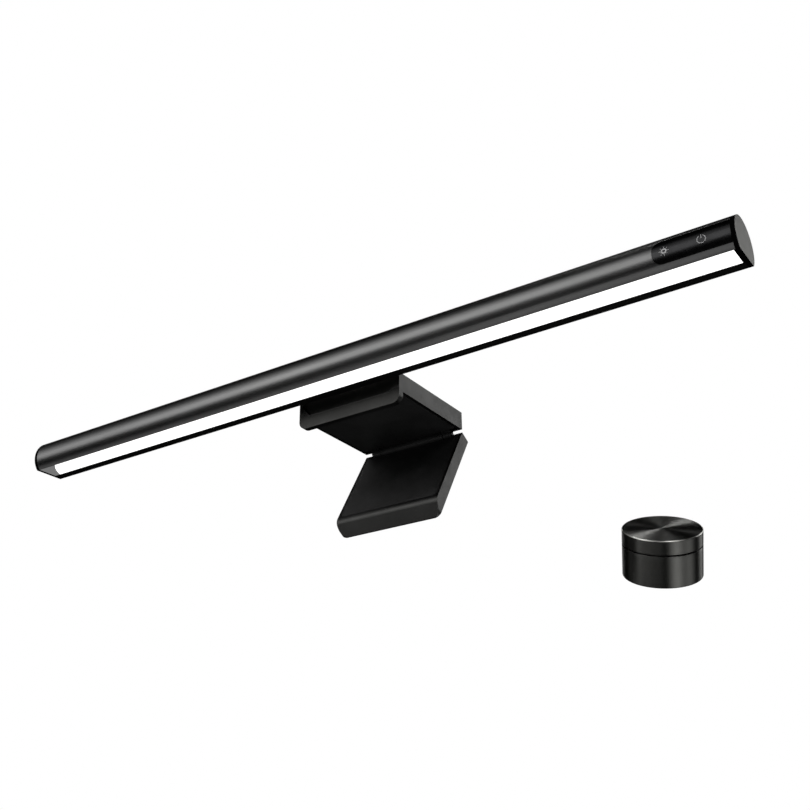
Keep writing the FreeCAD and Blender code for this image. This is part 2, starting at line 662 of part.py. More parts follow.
def make_leg_shell():
    profile = [
        (dim.leg_inner, dim.leg_top), (leg_back, dim.leg_top), (leg_back, dim.leg_tip),
        (dim.leg_inner, dim.leg_ridge),
    ]
    shell = slab("leg", "YZ_Plane", profile, -dim.clamp_half, dim.clamp_half)
    soften(shell, "Fillet", dim.tip_round, dict(x=0, y=leg_back.value, z=dim.leg_tip.value))
    soften(shell, "Fillet", dim.ridge_round, dict(x=0, y=dim.leg_inner.value, z=dim.leg_ridge.value))
    depth = dim.leg_thickness - dim.leg_back_wall
    sketch = outline(shell, "XZ_Plane", "room", leg_room(0), -dim.leg_inner - depth)
    grow(shell, "Pocket", sketch, depth + 1, reverse=True)
    bosses = circles(shell, "XZ_Plane", "bosses", LEAF_SCREWS, 2.6, -leg_back + 1)
    grow(shell, "Pad", bosses, leg_back - 1 - 3.25)
    threads = circles(shell, "XZ_Plane", "threads", LEAF_SCREWS, 0.9, -5.6)
    grow(shell, "Pocket", threads, 5, reverse=True)
    slot_half = dim.barrel_half + 0.2
    leaf_slot = box((-slot_half, slot_half), (2.1, 3.3), (-4, 1))
    return node(cut(shell, leaf_slot, hinge_room(ORIGIN_AXIS), *leg_corners()), "leg_shell", LEG_PLACE)


def leg_sheet(label, low, high):
    """Flat sheet inside the leg's rim, clear of the hinge."""
    piece = slab(label + "_blank", "XZ_Plane", leg_room(dim.sheet_gap), -as_size(high), -as_size(low))
    return node(cut(piece, hinge_room(ORIGIN_AXIS)), label, LEG_PLACE)


def make_leg_inside():
    leg_sheet("leg_pad", dim.leg_inner, dim.leg_inner + 0.6)
    leg_sheet("leg_inner_cover", dim.leg_inner + 0.6, dim.leg_inner + 1.4)

    top, low = -17, -53.3
    side, corner = 31.5, 5.5
    edges = [(-side, top), (side, top), (side, low + corner), (side - corner, low),
             (corner - side, low), (-side, low + corner)]
    near, far = 1.8, 6.0
    weight = slab("weight", "XZ_Plane", edges, -far, -near)
    soften(weight, "Chamfer", 0.5, dict(x=0, y=near, z=top), dict(x=0, y=far, z=top))
    node(weight, "counterweight", LEG_PLACE)

    half = dim.barrel_half
    barrel = ring("x", dim.barrel_radius, dim.barrel_bore, -half, half, ORIGIN_AXIS)
    leaf = box((-half, half), (2.2, 3.2), (-15, 0))
    tools = [cylinder("x", dim.barrel_bore, -FAR, FAR, ORIGIN_AXIS)]
    tools += [cylinder("y", 0.9, 0, 6, spot) for spot in LEAF_SCREWS]
    node(cut(fuse(barrel, leaf), *tools), "leg_hinge_leaf", LEG_PLACE)

    bore = dim.hinge_pin_radius + dim.running_gap
    bushes = [
        ring("x", dim.barrel_bore, bore, half - 6, half, ORIGIN_AXIS),
        ring("x", dim.barrel_bore, bore, -half, 6 - half, ORIGIN_AXIS),
    ]
    node(group(bushes), "hinge_bushes", LEG_PLACE)
    screws = [screw(x, 1.72, z, 1.8, 0.48, 0.9, 3.3, "y", 1) for x, z in LEAF_SCREWS]
    node(group(screws), "leg_screws", LEG_PLACE)


def coil(radius, wire, pitch, turns):
    """Helical spring about Z from Z = 0, in short straight runs with an eight-sided section."""
    steps, sides = 16, 8
    path = []
    for i in range(turns * steps + 1):
        angle = 2 * math.pi * i / steps
        path.append(Vector(radius * math.cos(angle), radius * math.sin(angle), pitch * i / steps))
    along = (path[1] - path[0]).normalize()
    outward = Vector(1, 0, 0)
    upward = along.cross(outward)
    section = []
    for i in range(sides + 1):
        angle = 2 * math.pi * (i % sides) / sides
        section.append(path[0] + (outward * math.cos(angle) + upward * math.sin(angle)) * (wire / 2))
    right_corners = 1
    return Part.makePolygon(path).makePipeShell([Part.makePolygon(section)], True, False, right_corners)


def make_torsion_spring():
    pitch, turns = 1.2, 12
    spring = doc.addObject("Part::Feature", "torsion_spring")
    spring.Shape = coil(1.95, 0.8, pitch, turns)
    lay_down = Placement(Vector(-pitch * turns / 2, 0, 0), Rotation(Vector(0, 1, 0), 90))
    node(spring, "torsion_spring", LEG_PLACE.multiply(lay_down))


# ---------------------------------------------------------------- wireless dial

def dial_axis():
    tilt = math.radians(dim.remote_tilt.value)
    heading = math.radians(dim.remote_heading.value)
    return Vector(math.sin(tilt) * math.cos(heading), math.sin(tilt) * math.sin(heading), math.cos(tilt))


REMOTE_PLACE = Placement(Vector(dim.remote_x.value, dim.remote_y.value, dim.remote_z.value),
                         Rotation(Vector(0, 0, 1), dial_axis()))
REMOTE_SCREWS = [(17.5 * math.cos(math.radians(a)), 17.5 * math.sin(math.radians(a))) for a in (30, 150, 270)]


def make_remote_case():
    radius, wall = dim.remote_radius, dim.remote_wall
    inside = radius - wall
    deck = dim.base_height
    base = turned("base", [(radius, 0), (radius, deck), (7.2, deck), (7.2, deck - wall),
                           (inside, deck - wall), (inside, 0)])
    soften(base, "Fillet", 0.8, dict(z=0, radius=radius.value))
    roots = circles(base, "XY_Plane", "bosses", REMOTE_SCREWS, 2.4, 1.65)
    grow(base, "Pad", roots, deck - wall - 1.65 + 0.2)
    grow(base, "Pocket", circles(base, "XY_Plane", "threads", REMOTE_SCREWS, 0.9, 9), 9)
    node(base, "remote_base", REMOTE_PLACE)

    cover = turned("cover", [(0, 0.3), (9.4, 0.3), (9.4, 0.8), (14.1, 0.8), (14.1, 0), (inside - 0.1, 0),
                             (inside - 0.1, 1.6), (0, 1.6)])
    grow(cover, "Pocket", circles(cover, "XY_Plane", "holes", REMOTE_SCREWS, 0.9, 1.6), 5)
    grow(cover, "Pocket", circles(cover, "XY_Plane", "heads", REMOTE_SCREWS, 1.9, 0.8), 5)
    node(cover, "remote_bottom_cover", REMOTE_PLACE)

    foot = turned("foot", [(9.5, -0.5), (14, -0.5), (14, 0.8), (9.5, 0.8)])
    node(foot, "remote_foot_ring", REMOTE_PLACE)
    screws = [screw(x, y, 0.1, 1.8, 0.7, 0.9, 6, "z", 1) for x, y in REMOTE_SCREWS]
    node(group(screws), "remote_screws", REMOTE_PLACE)


def make_remote_inside():
    node(ring("z", 14.6, 7, 1.65, 3.65), "remote_weight", REMOTE_PLACE)
    tray = turned("tray", [(0, 3.7), (11.6, 3.7), (11.6, 7.4), (10.1, 7.4), (10.1, 3.95), (0, 3.95)])
    node(tray, "cell_holder", REMOTE_PLACE)
    cell = turned("cell", [(0, 4), (9.2, 4), (9.2, 4.4), (10, 4.4), (10, 7.2), (0, 7.2)])
    node(cell, "coin_cell", REMOTE_PLACE)
    node(cylinder("z", 14.6, 7.6, 8.8, (0, 0)), "remote_board", REMOTE_PLACE)
    housing = cut(box((-6, 6), (-6, 6), (8.8, 13.9)), cylinder("z", 3.1, 8, 15, (0, 0)))
    node(housing, "encoder_housing", REMOTE_PLACE)
    node(cylinder("z", 2.6, 8.8, 9.3, (0, 0)), "press_switch", REMOTE_PLACE)

    spring = doc.addObject("Part::Feature", "return_spring")
    spring.Shape = coil(4.4, 0.5, 0.55, 3)
    lift = Placement(Vector(0, 0, 14.25), Rotation())
    node(spring, "return_spring", REMOTE_PLACE.multiply(lift))


def make_dial():
    bore = 1.5 + dim.running_gap
    carrier = turned("carrier", [(bore, 10.3), (3.04, 10.3), (3.04, 17), (6.5, 17), (6.5, 18), (bore, 18)])
    node(carrier, "dial_carrier", REMOTE_PLACE)

    low = dim.base_height + dim.groove
    radius, wall = dim.remote_radius, dim.remote_wall
    inside, top = radius - wall, dim.remote_height
    plate = top - 2
    knob = turned("knob", [(0, plate), (inside, plate), (inside, low), (radius, low), (radius, top), (0, top)])
    soften(knob, "Chamfer", 0.5, dict(z=top.value, radius=radius.value))
    node(knob, "dial_knob", REMOTE_PLACE)

    web, rim = plate - 1.5, inside - 0.05
    hub = turned("hub", [(0, 11), (1.5, 11), (1.5, 18.05), (5, 18.05), (5, web), (rim, web), (rim, plate), (0, plate)])
    node(hub, "dial_hub", REMOTE_PLACE)


# ---------------------------------------------------------------- build, check and write

make_extrusion()
make_end_cap("left_end_cap", -1)
make_end_cap("right_end_cap", 1)
make_diffuser()
make_light_engine()
make_bar_electronics()
make_tilt_pivot()
make_clamp_shell()
make_clamp_front()
make_clamp_inside()
make_tilt_bracket()
make_hinge_bracket()
make_leg_shell()
make_leg_inside()
make_torsion_spring()
make_remote_case()
make_remote_inside()
make_dial()
doc.recompute()

faults = [obj.Label for obj in doc.Objects if "Invalid" in obj.State or "Error" in obj.State]
for piece in NODES:
    if piece.Shape.isNull() or not piece.Shape.isValid() or piece.Shape.Volume <= 0:
        faults.append(piece.Label)
if faults:
    raise RuntimeError("failed objects: " + ", ".join(faults))

for piece in NODES:
    piece.Shape.exportStep(f"parts/{piece.Label}.step")
    print(f"{piece.Label:22s} solids {len(piece.Shape.Solids):2d}  volume {piece.Shape.Volume:9.1f}")
print(len(NODES), "nodes")
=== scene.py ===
import json
import math

import bmesh
import bpy
from mathutils import Matrix, Quaternion, Vector


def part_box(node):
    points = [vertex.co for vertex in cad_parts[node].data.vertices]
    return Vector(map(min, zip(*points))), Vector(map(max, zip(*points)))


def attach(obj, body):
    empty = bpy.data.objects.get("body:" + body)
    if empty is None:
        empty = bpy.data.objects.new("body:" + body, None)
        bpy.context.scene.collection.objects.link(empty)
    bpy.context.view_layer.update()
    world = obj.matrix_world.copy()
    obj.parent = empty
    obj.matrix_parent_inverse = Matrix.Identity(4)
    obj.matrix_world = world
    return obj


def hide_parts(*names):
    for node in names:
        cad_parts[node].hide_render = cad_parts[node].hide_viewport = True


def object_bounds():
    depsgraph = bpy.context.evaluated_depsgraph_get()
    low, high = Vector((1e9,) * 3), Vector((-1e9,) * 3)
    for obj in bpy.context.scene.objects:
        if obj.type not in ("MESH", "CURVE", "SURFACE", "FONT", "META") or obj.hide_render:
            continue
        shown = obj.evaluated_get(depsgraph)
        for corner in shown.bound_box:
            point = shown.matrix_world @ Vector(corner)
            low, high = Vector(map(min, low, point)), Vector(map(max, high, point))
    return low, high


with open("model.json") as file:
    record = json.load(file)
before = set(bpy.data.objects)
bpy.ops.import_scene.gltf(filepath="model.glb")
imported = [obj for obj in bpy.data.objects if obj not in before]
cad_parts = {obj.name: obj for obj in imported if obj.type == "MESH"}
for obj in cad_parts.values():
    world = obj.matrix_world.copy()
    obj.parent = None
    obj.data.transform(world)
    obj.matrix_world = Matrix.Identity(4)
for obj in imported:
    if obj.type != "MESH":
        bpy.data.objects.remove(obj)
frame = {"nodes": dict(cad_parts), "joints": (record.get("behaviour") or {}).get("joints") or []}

# Looks of the monitor light bar and its wireless dial. Everything is in metres, in the row frame.

MM = 0.001
CAD_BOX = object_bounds()
CAP_FACE_X = CAD_BOX[1][0]
JOINTS = {joint["name"]: joint for joint in frame["joints"]}


# ---------------------------------------------------------------- camera

CAMERA_PLACE = Vector((0.33035, -0.47537, -0.25630))
CAMERA_AZIMUTH, CAMERA_ELEVATION, CAMERA_ROLL = 33.491, -24.872, -0.614
CAMERA_LENS, CAMERA_SENSOR = 50, 36
CAMERA_CLIP = 0.01


def make_camera():
    azimuth, elevation, roll = (math.radians(a) for a in (CAMERA_AZIMUTH, CAMERA_ELEVATION, CAMERA_ROLL))
    back = Vector((math.sin(azimuth) * math.cos(elevation), -math.cos(azimuth) * math.cos(elevation),
                   math.sin(elevation)))
    right = Vector((math.cos(azimuth), math.sin(azimuth), 0))
    up = back.cross(right)
    rolled_right = right * math.cos(roll) + up * math.sin(roll)
    rolled_up = up * math.cos(roll) - right * math.sin(roll)
    data = bpy.data.cameras.new("camera")
    data.lens = CAMERA_LENS
    data.sensor_width = CAMERA_SENSOR
    data.clip_start = CAMERA_CLIP
    camera = bpy.data.objects.new("camera", data)
    axes = Matrix((rolled_right, rolled_up, back)).transposed()
    camera.matrix_world = Matrix.Translation(CAMERA_PLACE) @ axes.to_4x4()
    bpy.context.scene.collection.objects.link(camera)
    bpy.context.scene.camera = camera


# ---------------------------------------------------------------- material building blocks

# the part of its 0 to 1 that a noise really uses
NOISE_LOW, NOISE_HIGH = 0.3, 0.7


class Surface:
    """A material's node tree, with short calls for the nodes that the finishes share."""

    def __init__(self, name):
        self.material = bpy.data.materials.new(name)
        self.material.use_nodes = True
        self.tree = self.material.node_tree
        self.shader = self.tree.nodes["Principled BSDF"]
        self.place = self.tree.nodes.new("ShaderNodeTexCoord").outputs["Object"]

    def set(self, **values):
        """Constant sockets of the shader; underscores stand for spaces."""
        for name, value in values.items():
            self.shader.inputs[name.replace("_", " ")].default_value = value
        return self

    def link(self, source, target):
        self.tree.links.new(source, target)

    def stretched(self, scale, source=None):
        node = self.tree.nodes.new("ShaderNodeMapping")
        node.inputs["Scale"].default_value = scale
        self.link(source or self.place, node.inputs["Vector"])
        return node.outputs["Vector"]

    def noise(self, scale, detail=2.0, vector=None):
        node = self.tree.nodes.new("ShaderNodeTexNoise")
        node.inputs["Scale"].default_value = scale
        node.inputs["Detail"].default_value = detail
        self.link(vector or self.place, node.inputs["Vector"])
        return node.outputs["Fac"]

    def range(self, value, low, high, start=NOISE_LOW, end=NOISE_HIGH):
        node = self.tree.nodes.new("ShaderNodeMapRange")
        for name, number in (("From Min", start), ("From Max", end), ("To Min", low), ("To Max", high)):
            node.inputs[name].default_value = number
        self.link(value, node.inputs["Value"])
        return node.outputs["Result"]

    def colors(self, value, first, second, start=NOISE_LOW, end=NOISE_HIGH):
        node = self.tree.nodes.new("ShaderNodeValToRGB")
        node.color_ramp.elements[0].position = start
        node.color_ramp.elements[1].position = end
        node.color_ramp.elements[0].color = (*first, 1)
        node.color_ramp.elements[1].color = (*second, 1)
        self.link(value, node.inputs["Fac"])
        self.link(node.outputs["Color"], self.shader.inputs["Base Color"])

    def roughness(self, value, low, high):
        self.link(self.range(value, low, high), self.shader.inputs["Roughness"])

    def bump(self, height, distance, strength=1.0):
        node = self.tree.nodes.new("ShaderNodeBump")
        node.inputs["Strength"].default_value = strength
        node.inputs["Distance"].default_value = distance
        self.link(height, node.inputs["Height"])
        self.link(node.outputs["Normal"], self.shader.inputs["Normal"])


def grainy(name, dark, light, rough, grain, depth, **values):
    """Even finish with fine grain: colour, roughness and relief all follow it."""
    surface = Surface(name)
    surface.set(**values)
    cloud = surface.noise(45, 4)
    speck = surface.noise(grain, 3)
    surface.colors(cloud, dark, light)
    surface.roughness(surface.noise(120, 3), *rough)
    surface.bump(speck, depth)
    return surface.material


def anodised_tube():
    """Extruded tube, blasted and black anodised: fine grain drawn out slightly along X."""
    surface = Surface("anodised_tube")
    surface.set(Metallic=1.0, Specular_Tint=(0.3, 0.3, 0.3, 1))
    drawn = surface.noise(900, 3, surface.stretched((0.05, 1, 1)))
    grain = surface.noise(5200, 2)
    cloud = surface.noise(60, 3, surface.stretched((0.1, 1, 1)))
    surface.colors(cloud, (0.096, 0.096, 0.096), (0.108, 0.108, 0.107))
    surface.roughness(drawn, 0.29, 0.33)
    surface.bump(grain, 0.005 * MM)
    return surface.material


def anodised_flat():
    surface = Surface("anodised_flat")
    surface.set(Metallic=1.0)
    surface.colors(surface.noise(70, 4), (0.029, 0.029, 0.028), (0.035, 0.035, 0.034))
    surface.roughness(surface.noise(160, 3), 0.36, 0.42)
    surface.bump(surface.noise(5200, 2), 0.005 * MM)
    return surface.material


def end_cap_paint():
    """Black soft-touch cap whose flat end face is a satin metallic disc."""
    surface = Surface("end_cap_paint")
    surface.set(Specular_Tint=(0.7, 0.7, 0.7, 1))
    split = surface.tree.nodes.new("ShaderNodeSeparateXYZ")
    surface.link(surface.place, split.inputs["Vector"])
    reach = surface.tree.nodes.new("ShaderNodeMath")
    reach.operation = "ABSOLUTE"
    surface.link(split.outputs["X"], reach.inputs[0])
    face_start, face_end = CAP_FACE_X - 0.12 * MM, CAP_FACE_X - 0.08 * MM
    end_face = surface.range(reach.outputs["Value"], 0.0, 1.0, face_start, face_end)
    surface.colors(end_face, (0.0025, 0.0025, 0.0025), (0.07, 0.07, 0.065), 0.0, 1.0)
    surface.link(end_face, surface.shader.inputs["Metallic"])
    surface.link(surface.range(end_face, 0.0, 0.5, 0.0, 1.0), surface.shader.inputs["Specular IOR Level"])
    surface.roughness(surface.noise(160, 3), 0.34, 0.38)
    surface.bump(surface.noise(4600, 2), 0.006 * MM)
    return surface.material


def lit_diffuser():
    surface = Surface("lit_diffuser")
    surface.set(Roughness=0.5, Emission_Color=(1.0, 0.995, 0.985, 1), Emission_Strength=1.25)
    surface.colors(surface.noise(300, 2), (0.9, 0.9, 0.89), (0.95, 0.95, 0.94))
    surface.bump(surface.noise(2600, 2), 0.004 * MM)
    return surface.material


def touch_gloss():
    surface = Surface("touch_gloss")
    surface.set(Metallic=1.0, Specular_Tint=(0.15, 0.15, 0.15, 1))
    surface.colors(surface.noise(80, 3), (0.019, 0.019, 0.0195), (0.022, 0.022, 0.0225))
    surface.roughness(surface.noise(300, 3), 0.22, 0.27)
    surface.bump(surface.noise(120, 2), 0.002 * MM)
    return surface.material


def sign_print():
    surface = Surface("sign_print")
    surface.set(Roughness=0.6, Specular_IOR_Level=0.1)
    surface.colors(surface.noise(2500, 3), (0.5, 0.5, 0.5), (0.6, 0.6, 0.6))
    return surface.material


def turned_metal(name, color, lighter, rings_per_metre):
    """Lathe-turned gunmetal: fine rings about the dial's axis, carried by the mesh's own UV."""
    surface = Surface(name)
    surface.set(Metallic=1.0, Anisotropic=0.95, Anisotropic_Rotation=0.25)
    uv = surface.tree.nodes.new("ShaderNodeUVMap")
    uv.uv_map = "lathe"
    tangent = surface.tree.nodes.new("ShaderNodeTangent")
    tangent.direction_type = "UV_MAP"
    tangent.uv_map = "lathe"
    surface.link(tangent.outputs["Tangent"], surface.shader.inputs["Tangent"])
    rings = surface.noise(1.0, 2, surface.stretched((2.0, rings_per_metre, 1), uv.outputs["UV"]))
    surface.colors(rings, color, lighter)
    surface.roughness(rings, 0.36, 0.42)
    return surface.material


def circuit_board():
    surface = Surface("circuit_board")
    surface.set(Specular_IOR_Level=0.6, Coat_Weight=0.3)
    traces = surface.noise(350, 1, surface.stretched((1, 3, 1)))
    surface.colors(traces, (0.01, 0.10, 0.035), (0.02, 0.16, 0.06), 0.45, 0.55)
    surface.roughness(surface.noise(500, 2), 0.3, 0.4)
    surface.bump(traces, 0.02 * MM)
    return surface.material


def make_finishes():
    return {
        "tube": anodised_tube(),
        "flat": anodised_flat(),
        "cap": end_cap_paint(),
        # the near-black front plate is painted shade: a dark sheet set in the clamp's front recess to stand
        # in for the shade there
        "front": grainy("front_plastic_painted_recess_shade", (0.006, 0.006, 0.0055), (0.01, 0.01, 0.009), (0.3, 0.38),
                        3800, 0.006 * MM),
        # the gusset's faint glow is painted light: it stands in for light bounced onto it from the lit
        # diffuser
        "gusset": grainy("gusset_satin_painted_bounce_glow", (0.19, 0.19, 0.19), (0.23, 0.23, 0.23), (0.4, 0.5), 4200, 0.008 * MM,
                         Emission_Color=(0.8, 0.8, 0.8, 1), Emission_Strength=0.16),
        "inner": grainy("inner_plastic", (0.012, 0.012, 0.012), (0.02, 0.02, 0.02), (0.5, 0.6),
                        4200, 0.01 * MM),
        "diffuser": lit_diffuser(),
        "reflector": grainy("reflector_white", (0.85, 0.85, 0.85), (0.92, 0.92, 0.92), (0.4, 0.5),
                            3000, 0.006 * MM),
        "board": circuit_board(),
        "led": grainy("led_phosphor", (0.9, 0.8, 0.3), (0.95, 0.88, 0.4), (0.3, 0.4), 6000, 0.01 * MM,
                      Emission_Color=(1, 0.95, 0.8, 1), Emission_Strength=0.8),
        "chip": grainy("chip_epoxy", (0.015, 0.015, 0.016), (0.025, 0.025, 0.026), (0.45, 0.6),
                       5000, 0.02 * MM),
        "tin": grainy("tin_plate", (0.5, 0.5, 0.49), (0.62, 0.62, 0.6), (0.25, 0.35), 2500, 0.004 * MM,
                      Metallic=1.0),
        "gloss": touch_gloss(),
        "film": grainy("polyimide_film", (0.4, 0.17, 0.02), (0.5, 0.24, 0.03), (0.3, 0.4), 3000, 0.005 * MM),
        "zinc": grainy("cast_zinc", (0.3, 0.3, 0.31), (0.42, 0.42, 0.43), (0.4, 0.55), 1500, 0.02 * MM,
                       Metallic=1.0),
        "steel": grainy("bright_steel", (0.45, 0.45, 0.45), (0.58, 0.58, 0.57), (0.22, 0.34),
                        3500, 0.006 * MM, Metallic=1.0),
        "coated": grainy("coated_steel", (0.009, 0.009, 0.009), (0.016, 0.016, 0.016), (0.4, 0.52),
                         2600, 0.015 * MM, Specular_IOR_Level=0.25),
        "nylon": grainy("nylon", (0.68, 0.66, 0.58), (0.76, 0.74, 0.67), (0.4, 0.5), 3000, 0.008 * MM),
        "rubber": grainy("silicone", (0.006, 0.006, 0.006), (0.012, 0.012, 0.012), (0.42, 0.55),
                         3200, 0.02 * MM),
        "sign": sign_print(),
        "turned_top": turned_metal("turned_top", (0.085, 0.085, 0.081), (0.125, 0.125, 0.119), 5200),
        "turned_side": turned_metal("turned_side", (0.098, 0.098, 0.093), (0.108, 0.108, 0.102), 2600),
        # lighter copy of the turned metal for the dial's chamfer: a painted highlight along its rim
        "chamfer_painted_highlight": grainy("chamfer_painted_highlight", (0.5, 0.5, 0.47), (0.58, 0.58, 0.55), (0.3, 0.36),
                              3000, 0.003 * MM, Metallic=1.0),
    }


FINISH_OF = {
    "tube": ["bar_extrusion"],
    "flat": ["clamp_shell", "leg_shell", "neck_cover"],
    "cap": ["left_end_cap", "right_end_cap"],
    "gusset": ["end_gusset"],
    # the front plate carries the painted shade of the clamp's front recess
    "front": ["clamp_front_plate"],
    "inner": ["leg_inner_cover", "remote_bottom_cover", "dial_hub", "dial_carrier", "cell_holder"],
    "diffuser": ["diffuser"],
    "reflector": ["reflector"],
    "board": ["led_board", "control_board", "touch_board", "remote_board"],
    "led": ["leds"],
    "chip": ["board_parts", "encoder_housing"],
    "tin": ["radio_module", "usb_inlet", "coin_cell", "press_switch"],
    "gloss": ["touch_panel"],
    "film": ["touch_flex"],
    "zinc": ["pivot_block_left", "pivot_block_right"],
    "steel": ["pivot_pin", "pivot_screws", "hinge_pin", "clamp_screws", "bracket_screws", "leg_screws",
              "remote_screws", "counterweight", "remote_weight", "torsion_spring", "return_spring"],
    "coated": ["base_plate", "tilt_bracket", "hinge_bracket", "leg_hinge_leaf"],
    "nylon": ["friction_washers", "hinge_bushes"],
    "rubber": ["rest_pad", "lip_pad", "leg_pad", "remote_foot_ring"],
    "turned_side": ["dial_knob", "remote_base"],
}

# edge rounding of the visible CAD pieces, in millimetres
EDGE_ROUND = {
    "bar_extrusion": 0.2, "left_end_cap": 0.25, "right_end_cap": 0.25, "clamp_shell": 0.35, "leg_shell": 0.35,
    "leg_pad": 0.15, "rest_pad": 0.15, "neck_cover": 0.3, "touch_panel": 0.12, "end_gusset": 0.08,
    "hinge_bracket": 0.15, "leg_hinge_leaf": 0.12, "remote_bottom_cover": 0.2, "remote_foot_ring": 0.2,
}
EDGE_SEGMENTS = 2
EDGE_ANGLE = 40


def dress_nodes(finishes):
    for finish, names in FINISH_OF.items():
        for name in names:
            mesh = frame["nodes"][name].data
            mesh.materials.clear()
            mesh.materials.append(finishes[finish])
    for name, width in EDGE_ROUND.items():
        bevel = frame["nodes"][name].modifiers.new("edge_round", "BEVEL")
        bevel.width = width * MM
        bevel.segments = EDGE_SEGMENTS
        bevel.limit_method = "ANGLE"
        bevel.angle_limit = math.radians(EDGE_ANGLE)
        bevel.harden_normals = False


# ---------------------------------------------------------------- mesh helpers

def add_piece(name, bm, material, body, smooth=True):
    mesh = bpy.data.meshes.new(name)
    bmesh.ops.recalc_face_normals(bm, faces=bm.faces)
    bm.to_mesh(mesh)
    bm.free()
    for polygon in mesh.polygons:
        polygon.use_smooth = smooth
    mesh.materials.append(material)
    piece = bpy.data.objects.new(name, mesh)
    bpy.context.scene.collection.objects.link(piece)
    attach(piece, body)
    return piece


def arc_path(centre, radius, start, end, steps):
    """Points of an arc; angles in degrees."""
    points = []
    for i in range(steps + 1):
        angle = math.radians(start + (end - start) * i / steps)
        points.append((centre[0] + radius * math.cos(angle), centre[1] + radius * math.sin(angle)))
    return points


# ---------------------------------------------------------------- touch signs

# both signs lie this far above the middle of the panel's curve
SIGN_ARC = 0.3 * MM
SUN_X, POWER_X = 192.6 * MM, 209.8 * MM
POWER_RADIUS = 1.95 * MM
SUN_RADIUS, SUN_STROKE = 1.0 * MM, 0.75 * MM
SUN_RAYS = 8
STROKE, FINE_STROKE = 0.3 * MM, 0.18 * MM
# the print stands this far proud of the panel, and reaches this far into it
PRINT_THICKNESS, PRINT_DEPTH = 0.03 * MM, 0.02 * MM


def bar_circle():
    """Axis (y, z) of the bar's round section, from its tilt joint, and the touch panel's radius."""
    centre = Vector(JOINTS["bar_tilt"]["pos_m"])
    low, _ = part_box("touch_panel")
    return centre.y, centre.z, centre.y - low[1]


def wrap_strip(bm, path, width):
    """Printed stroke along a path of (x, arc height) points, laid on the touch panel's curve."""
    axis_y, axis_z, radius = bar_circle()
    rows = []
    for i, point in enumerate(path):
        before, after = path[max(i - 1, 0)], path[min(i + 1, len(path) - 1)]
        along = Vector((after[0] - before[0], after[1] - before[1])).normalized()
        side = Vector((-along.y, along.x)) * (width / 2)
        row = []
        for lift in (-PRINT_DEPTH, PRINT_THICKNESS):
            for sign in (-1, 1):
                x, arc = point[0] + side.x * sign, point[1] + side.y * sign
                angle = arc / radius
                reach = radius + lift
                y, z = axis_y - reach * math.cos(angle), axis_z + reach * math.sin(angle)
                row.append(bm.verts.new((x, y, z)))
        rows.append(row)
    for first, second in zip(rows, rows[1:]):
        for a, b in ((0, 1), (1, 3), (3, 2), (2, 0)):
            bm.faces.new((first[a], first[b], second[b], second[a]))
    for row in (rows[0], rows[-1]):
        bm.faces.new((row[0], row[1], row[3], row[2]))


def make_touch_signs(finish):
    power = bmesh.new()
    centre = (POWER_X, SIGN_ARC)
    wrap_strip(power, arc_path(centre, POWER_RADIUS, 115, 425, 30), STROKE)
    stem = [(centre[0], centre[1] + offset * MM) for offset in (0.3, 1.0, 1.7, 2.4)]
    wrap_strip(power, stem, STROKE)
    add_piece("power_sign", power, finish, "bar", smooth=False)

    sun = bmesh.new()
    centre = (SUN_X, SIGN_ARC)
    wrap_strip(sun, arc_path(centre, SUN_RADIUS, 0, 360, 24), SUN_STROKE)
    for i in range(SUN_RAYS):
        angle = math.radians(360 * i / SUN_RAYS)
        ray = [(centre[0] + reach * MM * math.cos(angle), centre[1] + reach * MM * math.sin(angle))
               for reach in (1.6, 2.0, 2.4)]
        wrap_strip(sun, ray, FINE_STROKE)
    add_piece("sun_sign", sun, finish, "bar", smooth=False)


# ---------------------------------------------------------------- turned dial

def dial_frame():
    """Matrix of the dial's own frame: origin under its middle, Z along its axis."""
    joint = JOINTS["dial_turn"]
    axis = Vector(joint["axis"]).normalized()
    turn = Vector((0, 0, 1)).rotation_difference(axis).to_matrix().to_4x4()
    return Matrix.Translation(Vector(joint["pos_m"])) @ turn


def lathe_size(node):
    """Largest radius, lowest and highest point of a CAD node in the dial's frame."""
    back = dial_frame().inverted()
    spots = [back @ vertex.co for vertex in frame["nodes"][node].data.vertices]
    radius = max(math.hypot(spot.x, spot.y) for spot in spots)
    return radius, min(spot.z for spot in spots), max(spot.z for spot in spots)


LATHE_STEPS = 192
ON_AXIS, SAME_SPOT = 1e-6, 1e-7


